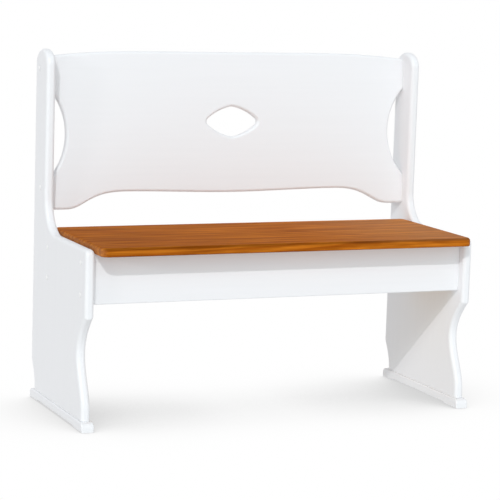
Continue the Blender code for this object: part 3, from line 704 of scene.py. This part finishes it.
def make_side_panel(side):
    node = f"side_panel_{side}"
    low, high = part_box(node)
    arm_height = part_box("seat_board")[1].z - ARM_BELOW_SEAT
    toe = (low.y + TOE_INSET, TOE_HEIGHT)
    waist = (low.y + LEG_WAIST_INSET, LEG_WAIST_HEIGHT)
    knee = (low.y, LEG_CURVE_TOP)
    heel = (high.y, HEEL_HEIGHT)
    heel_foot = (high.y - HEEL_INSET, low.z)
    arm_corner = (low.y + ARM_CORNER_RADIUS, arm_height - ARM_CORNER_RADIUS)
    cove = (high.y - POST_DEPTH - COVE_RADIUS, arm_height + COVE_RADIUS)
    crown = (high.y - POST_DEPTH / 2, high.z - POST_CROWN_HEIGHT)
    outline = [(toe[0], low.z), toe]
    outline += sweep(toe, 90, waist, 90)
    outline += sweep(waist, 90, knee, KNEE_HEADING)
    outline += arc(arm_corner, (ARM_CORNER_RADIUS, ARM_CORNER_RADIUS), 180, 90, CORNER_STEPS)
    outline += arc(cove, (COVE_RADIUS, COVE_RADIUS), 270, 360, 2 * CORNER_STEPS)
    outline += arc(crown, (POST_DEPTH / 2, POST_CROWN_HEIGHT), 180, 0, 4 * CORNER_STEPS)
    outline.append(heel)
    outline += sweep(heel, HEEL_HEADING, heel_foot, 270)
    mesh = board_mesh("painted_" + node, outline, high.x - low.x)
    matrix = across((low.x + high.x) / 2)
    panel = piece("painted_" + node, mesh, upright_paint, "frame", node, matrix)
    round_rims(panel, PANEL_ROUNDOVER, square=lambda depth, height: height < low.z + WELD)
    cut(panel, f"panel_holes_{side}", holes("screw_", "foot_screw_", side=f"_{side}_"))
    return settle(panel)


def make_foot_rail(side):
    node = f"foot_rail_{side}"
    low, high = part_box(node)
    ramp = FOOT_PAD_LENGTH + FOOT_RELIEF_RAMP
    radii = (FOOT_END_RADIUS, FOOT_END_RADIUS)
    crown = high.z - FOOT_END_RADIUS
    outline = [
        (low.y, 0.0),
        (low.y + FOOT_PAD_LENGTH, 0.0),
        (low.y + ramp, FOOT_RELIEF),
        (high.y - ramp, FOOT_RELIEF),
        (high.y - FOOT_PAD_LENGTH, 0.0),
        (high.y, 0.0),
    ]
    outline += arc((high.y - FOOT_END_RADIUS, crown), radii, 0, 90, CORNER_STEPS)
    outline += arc((low.y + FOOT_END_RADIUS, crown), radii, 90, 180, CORNER_STEPS)
    mesh = board_mesh("painted_" + node, outline, high.x - low.x)
    matrix = across((low.x + high.x) / 2)
    rail = piece("painted_" + node, mesh, depthwise_paint, "frame", node, matrix)
    round_rims(rail, FOOT_ROUNDOVER)
    cut(rail, f"foot_rail_holes_{side}", holes("foot_screw_", side=f"_{side}_"))
    return settle(rail)


def diamond_outline():
    """Hand hole of the backrest: a diamond with rounded corners and sides bowed slightly outwards."""
    radii = (DIAMOND_CORNER_RADIUS, DIAMOND_CORNER_RADIUS)
    tip = (DIAMOND_WIDTH / 2 - DIAMOND_CORNER_RADIUS, 0.0)
    top = (0.0, DIAMOND_HEIGHT / 2 - DIAMOND_CORNER_RADIUS)
    side_faces = math.degrees(math.atan2(tip[0], top[1]))
    leave, arrive = side_faces - DIAMOND_BOW, side_faces + DIAMOND_BOW
    quarter = arc(tip, radii, 0, leave, CORNER_STEPS)
    crown = arc(top, radii, arrive, 90, CORNER_STEPS // 2)
    quarter += sweep(quarter[-1], leave + 90, crown[0], arrive + 90) + crown[1:]
    upper = quarter + [(-x, rise) for x, rise in reversed(quarter[:-1])]
    whole = upper + [(x, -rise) for x, rise in reversed(upper[1:-1])]
    return [(x, DIAMOND_RISE + rise) for x, rise in whole]


def make_backrest():
    end_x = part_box("backrest_board")[1].x
    sag = (0.0, -BACK_SAG_DROP)
    wave = (BACK_WAVE_REACH, -BACK_WAVE_DROP)
    tab = (end_x - BACK_TAB_LENGTH, -BACK_TAB_DROP)
    end = (end_x, BACK_END_RISE)
    crown = (0.0, BACK_CROWN_RISE)
    cut_radius = (CUTOUT_HEIGHT**2 / 4 + CUTOUT_DEPTH**2) / (2 * CUTOUT_DEPTH)
    cut_angle = math.degrees(math.asin(CUTOUT_HEIGHT / 2 / cut_radius))
    cut_centre = (end_x - CUTOUT_DEPTH + cut_radius, 0.0)
    half = [sag]
    half += sweep(sag, 0, wave, 0)
    half += sweep(wave, 0, tab, 0, TAB_PULLS)
    half.append((end_x, -BACK_TAB_DROP))
    half += arc(cut_centre, (cut_radius, cut_radius), 180 + cut_angle, 180 - cut_angle, 4 * CORNER_STEPS)
    half.append(end)
    half += sweep(end, 180 - BACK_SHOULDER_SLOPE, crown, 180, SHOULDER_PULLS)
    outline = half + [(-x, rise) for x, rise in reversed(half[1:-1])]
    mesh = board_mesh("painted_backrest_board", outline, BACK_THICKNESS, diamond_outline())
    lean = Matrix.Rotation(math.pi / 2 - BACK_LEAN, 4, "X")
    behind = Vector((0.0, math.cos(BACK_LEAN), -math.sin(BACK_LEAN))) * BACK_THICKNESS / 2
    face = Vector((0.0, feet_front + BACK_FACE_BEHIND_FEET, BACK_FACE_HEIGHT))
    matrix = Matrix.Translation(face + behind) @ lean
    board = piece(mesh.name, mesh, lengthwise_paint, "frame", "backrest_board", matrix)
    round_rims(board, BACK_ROUNDOVER, square=lambda x, rise: abs(x) > end_x - WELD)
    cut(board, "backrest_holes", holes("screw_backrest_board"))
    return settle(board)


def make_rail(node):
    """Apron or rear rail, with its lower edges eased."""
    low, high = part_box(node)
    radii = (RAIL_EDGE_RADIUS, RAIL_EDGE_RADIUS, 0.0, 0.0)
    outline = rounded_rectangle((low.y, low.z), (high.y, high.z), radii)
    mesh = board_mesh("painted_" + node, outline, high.x - low.x)
    rail = piece("painted_" + node, mesh, lengthwise_paint, "frame", node, across(0.0))
    cut(rail, node + "_holes", holes("screw_" + node))
    if node == "rear_rail":
        cut(rail, "rail_mortises", mortises("rail"))
        cut(rail, "rail_hinge_holes", holes("hinge_rail_screw"))
    return settle(rail)


def mortises(owner):
    """Boxes that let the hinge leaves of the seat or the rail into its wood."""
    copies = []
    for side in SIDES:
        low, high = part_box(f"hinge_{owner}_leaf_{side}")
        low, high = low - Vector((FIT, FIT, FIT)), high + Vector((FIT, NOTCH_GAP, FIT))
        if owner == "seat":
            low.z = hinge_axis.z - CUT_OVERRUN
        else:
            high.z = hinge_axis.z + CUT_OVERRUN
        copies.append(block(low, high))
    return copies


def make_plank(node, name, material, body, corners, edge, lower_edge=None, cuts=()):
    """Level plank with the outline of a rectangle, the radii of its corners and its rounded edges."""
    low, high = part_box(node)
    outline = rounded_rectangle((low.x, low.y), (high.x, high.y), corners)
    mesh = board_mesh(name, outline, high.z - low.z)
    matrix = Matrix.Translation((0.0, 0.0, (low.z + high.z) / 2))
    plank = piece(name, mesh, material, body, node, matrix)
    round_rims(plank, edge, lower_edge)
    for number, copies in enumerate(cuts, start=1):
        cut(plank, f"{name}_cut_{number}", copies)
    return settle(plank)


def make_planks():
    """Seat board, battens, cleats and the bottom of the box."""
    front, rear = SEAT_FRONT_CORNER_RADIUS, SEAT_REAR_CORNER_RADIUS
    seat_cuts = (mortises("seat"), holes("hinge_seat_screw"), holes("batten_screw"))
    make_plank(
        "seat_board",
        "stained_seat_board",
        stained_pine,
        "lid",
        (front, front, rear, rear),
        SEAT_ROUNDOVER,
        SEAT_LOWER_ROUNDOVER,
        seat_cuts,
    )
    square = (PLANK_EDGE,) * 4
    for side in SIDES:
        node = f"seat_batten_{side}"
        cuts = (holes("batten_screw", side=f"_{side}_"),)
        make_plank(node, "planed_" + node, crosswise_pine, "lid", square, PLANK_EDGE, cuts=cuts)
    for node in ("bottom_cleat_front", "bottom_cleat_rear", "box_bottom"):
        make_plank(node, "planed_" + node, lengthwise_pine, "frame", square, PLANK_EDGE)


def make_leaf(owner, side):
    """Hinge leaf: a plate rolled once round the pin, notched where the other leaf's knuckles turn."""
    node = f"hinge_{owner}_leaf_{side}"
    low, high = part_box(node)
    middle = (low.x + high.x) / 2
    length = high.x - low.x
    radius = high.y - hinge_axis.y
    inner_face = radius - LEAF_THICKNESS
    meets = 180 - math.degrees(math.asin(inner_face / radius))
    way = 1 if owner == "seat" else -1
    section = [(low.y - hinge_axis.y, radius), (low.y - hinge_axis.y, inner_face)]
    section += arc((0.0, 0.0), (radius, radius), meets, 450, 3 * CORNER_STEPS)
    bore = PIN_RADIUS + PIN_CLEARANCE
    hole = arc((0.0, 0.0), (bore, bore), 0, 360, TURN_STEPS)[:-1]
    mesh = board_mesh(f"steel_{node}", [(depth, way * height) for depth, height in section], length, hole)
    matrix = Matrix.Translation((0.0, hinge_axis.y, hinge_axis.z)) @ across(middle)
    body = "lid" if owner == "seat" else "frame"
    leaf = piece(f"steel_{node}", mesh, zinc, body, node, matrix)
    inner, outer = KNUCKLE_LENGTH / 2, KNUCKLE_LENGTH / 2 + KNUCKLE_GAP
    beyond = length / 2 + CUT_OVERRUN
    spans = ((-beyond, -inner), (inner, beyond)) if owner == "seat" else ((-outer, outer),)
    reach = radius + NOTCH_GAP
    notches = []
    for start, end in spans:
        corner = Vector((middle + start, hinge_axis.y - reach, hinge_axis.z - reach))
        notches.append(block(corner, corner + Vector((end - start, 2 * reach, 2 * reach))))
    cut(leaf, f"{node}_notches", notches)
    cut(leaf, f"{node}_holes", holes(f"hinge_{owner}_screw_{side}"))
    return settle(leaf)


def make_hardware():
    """Hinges, screws and cover caps."""
    for side in SIDES:
        for owner in ("seat", "rail"):
            make_leaf(owner, side)
        low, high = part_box(f"hinge_pin_{side}")
        half = (high.x - low.x) / 2
        centre = (PIN_RADIUS - PIN_END_ROUND, half - PIN_END_ROUND)
        end = arc(centre, (PIN_END_ROUND, PIN_END_ROUND), 90, 0, CORNER_STEPS // 3)
        other_end = [(radius, -height) for radius, height in reversed(end)]
        profile = [(0.0, half)] + end + other_end + [(0.0, -half)]
        mesh = turned_mesh(f"steel_hinge_pin_{side}", profile)
        matrix = Matrix.Translation((low + high) / 2) @ Matrix.Rotation(math.pi / 2, 4, "Y")
        piece(mesh.name, mesh, zinc, "frame", f"hinge_pin_{side}", matrix)
    lid_nodes = frame["record"]["behaviour"]["bodies"]["lid"]
    for node in frame["nodes"]:
        if "screw_" in node or node.startswith("cap_"):
            mesh, _, outward, head_height = screw_of(node)
            body = "lid" if node in lid_nodes else "frame"
            matrix = stand_out(node, outward, head_height)
            if node.startswith("cap_"):
                piece("moulded_" + node, mesh, cap_plastic, body, node, matrix)
            else:
                piece("steel_" + node, mesh, zinc, body, node, matrix)


def finish_packed_nodes():
    """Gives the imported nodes, which the finer pieces stand for, their real finishes too."""
    finishes = {
        "bare_pine": lengthwise_pine,
        "white_plastic": cap_plastic,
        "zinc_steel": zinc,
        "white_paint": lengthwise_paint,
        "stained_pine": stained_pine,
    }
    for node in frame["nodes"].values():
        for holder in node.material_slots:
            holder.material = finishes[holder.material.name]


def seen_straight(tree):
    """1 for what the camera sees directly, in a reflection or through a clear body, and 0 for lighting."""
    path = put(tree, "ShaderNodeLightPath")
    seen = path.outputs["Is Camera Ray"]
    for ray in ("Is Glossy Ray", "Is Transmission Ray"):
        seen = put(tree, "ShaderNodeMath", {0: seen, 1: path.outputs[ray]}, operation="MAXIMUM").outputs[0]
    return seen


def make_world():
    """Even studio light, and a white background for what looks past the bench."""
    world = bpy.data.worlds.new("studio")
    bpy.context.scene.world = world
    world.use_nodes = True
    tree = world.node_tree
    tree.nodes.clear()
    colour, strength = AMBIENT
    ambient = put(tree, "ShaderNodeBackground", {"Color": linear(colour), "Strength": strength})
    backdrop = put(tree, "ShaderNodeBackground", {"Color": linear("FFFFFF"), "Strength": 1.0})
    sockets = {0: seen_straight(tree), 1: ambient.outputs[0], 2: backdrop.outputs[0]}
    mixed = put(tree, "ShaderNodeMixShader", sockets)
    put(tree, "ShaderNodeOutputWorld", {"Surface": mixed.outputs[0]})


def make_floor():
    """Pale floor with a soft shadow under the bench. It lights the bench from below, as a wide one does."""
    bpy.ops.mesh.primitive_plane_add(size=FLOOR_SIZE, location=(0.0, 0.0, FLOOR_LEVEL))
    floor = bpy.context.object
    floor.name = "studio_floor"
    material, tree = new_material("studio_floor")
    sky = put(tree, "ShaderNodeAmbientOcclusion", {"Distance": SHADOW_REACH}, samples=SHADOW_SAMPLES)
    hidden = put(tree, "ShaderNodeMath", {0: 1.0, 1: sky.outputs["AO"]}, operation="SUBTRACT").outputs[0]
    steep = put(tree, "ShaderNodeMath", {0: hidden, 1: SHADOW_POWER}, operation="POWER").outputs[0]
    dimmed = {0: steep, 1: -SHADOW_DEPTH, 2: 1.0}
    light = put(tree, "ShaderNodeMath", dimmed, operation="MULTIPLY_ADD").outputs[0]
    shown = put(tree, "ShaderNodeMath", {0: light, 1: SHADOW_LEAST_LIGHT}, operation="MAXIMUM").outputs[0]
    pale = put(tree, "ShaderNodeEmission", {"Color": linear("FFFFFF"), "Strength": shown}).outputs[0]
    glow = put(tree, "ShaderNodeEmission", {"Color": linear("FFFFFF"), "Strength": FLOOR_GLOW}).outputs[0]
    surface(tree, put(tree, "ShaderNodeMixShader", {0: seen_straight(tree), 1: glow, 2: pale}))
    floor.data.materials.append(material)


def make_lamps():
    """Distant lamps: a hard key from the front left, a softer rim from the left, and a broad front fill."""
    for name, (colour, strength, spread, direction) in LAMPS.items():
        data = bpy.data.lights.new(name, "SUN")
        data.color = linear(colour)[:3]
        data.energy = strength
        data.angle = math.radians(spread)
        lamp = new_object(name, data)
        lamp.rotation_mode = "QUATERNION"
        lamp.rotation_quaternion = Vector(direction).to_track_quat("-Z", "Y")


def make_camera():
    """Camera at the photograph's place and angles."""
    data = bpy.data.cameras.new("camera")
    data.sensor_width = SENSOR_WIDTH
    data.lens = LENS
    camera = new_object("camera", data)
    place = Vector(CAMERA_PLACE_FROM_FEET) + Vector((0.0, feet_front, 0.0))
    turn = Matrix.Rotation(math.radians(-CAMERA_TURN), 4, "Z")
    tilt = Matrix.Rotation(math.radians(90 - CAMERA_DROP), 4, "X")
    roll = Matrix.Rotation(math.radians(CAMERA_ROLL), 4, "Z")
    camera.matrix_world = Matrix.Translation(place) @ turn @ tilt @ roll
    bpy.context.scene.camera = camera


feet_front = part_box("foot_rail_left")[0].y
hinge_axis = Vector(frame["record"]["behaviour"]["joints"][0]["pos_m"])

upright_paint = painted_pine("satin_lacquer_on_upright_pine", "Z")
lengthwise_paint = painted_pine("satin_lacquer_on_lengthwise_pine", "X")
depthwise_paint = painted_pine("satin_lacquer_on_depthwise_pine", "Y")
# The seat's finish carries painted shade, a painted sheen and a painted highlight
stained_pine = pine("honey_stained_pine", 0, HONEY_STAIN, 0.50, 0.005, 0.062, painted_edge_shade=0.60, painted_sheen_and_shade=0.12)
lengthwise_pine = pine("planed_pine_lengthwise", 0, BARE_WOOD, 0.62, 0.3, 0.25)
crosswise_pine = pine("planed_pine_crosswise", 90, BARE_WOOD, 0.62, 0.3, 0.25)
cap_plastic = moulded_plastic("moulded_polypropylene")
zinc = zinc_plated_steel("zinc_plated_steel")

cutting_cube = cube_mesh("cutting_cube")
panel_screw = driven_screw("panel_screw", headed_profile(SCREW_RADIUS, SCREW_LENGTH), SCREW_HEAD_RADIUS)
panel_shank = SCREW_RADIUS + HOLE_CLEARANCE
panel_screw_hole = turned_mesh(
    "panel_screw_hole",
    [
        (0.0, COUNTERBORE_MOUTH),
        (COUNTERBORE_RADIUS, COUNTERBORE_MOUTH),
        (COUNTERBORE_RADIUS, -FIT),
        (panel_shank, -FIT),
        (panel_shank, -SCREW_LENGTH - FIT),
        (0.0, -SCREW_LENGTH - FIT),
    ],
)
batten_sizes = (BATTEN_SCREW_RADIUS, BATTEN_SCREW_HEAD_RADIUS, screw_length("batten_screw_left_front"))
batten_screw = driven_screw("batten_screw", countersunk_profile(*batten_sizes), BATTEN_SCREW_HEAD_RADIUS)
batten_screw_hole = countersunk_hole("batten_screw_hole", *batten_sizes)
hinge_sizes = (HINGE_SCREW_RADIUS, HINGE_SCREW_HEAD_RADIUS, screw_length("hinge_seat_screw_left_1"))
hinge_screw = driven_screw("hinge_screw", countersunk_profile(*hinge_sizes), HINGE_SCREW_HEAD_RADIUS)
hinge_screw_hole = countersunk_hole("hinge_screw_hole", *hinge_sizes)
stem = COUNTERBORE_RADIUS - HOLE_CLEARANCE
dome = arc((0.0, 0.0), (CAP_RADIUS, CAP_DOME), 90, 0, 2 * CORNER_STEPS)
cover_cap = turned_mesh("cover_cap", dome + [(stem, 0.0), (stem, -CAP_STEM_LENGTH), (0.0, -CAP_STEM_LENGTH)])

finish_packed_nodes()
for panel_side in SIDES:
    make_side_panel(panel_side)
    make_foot_rail(panel_side)
make_backrest()
make_rail("front_apron")
make_rail("rear_rail")
make_planks()
make_hardware()
make_world()
make_floor()
make_lamps()
make_camera()
bpy.context.scene.view_settings.view_transform = "Standard"
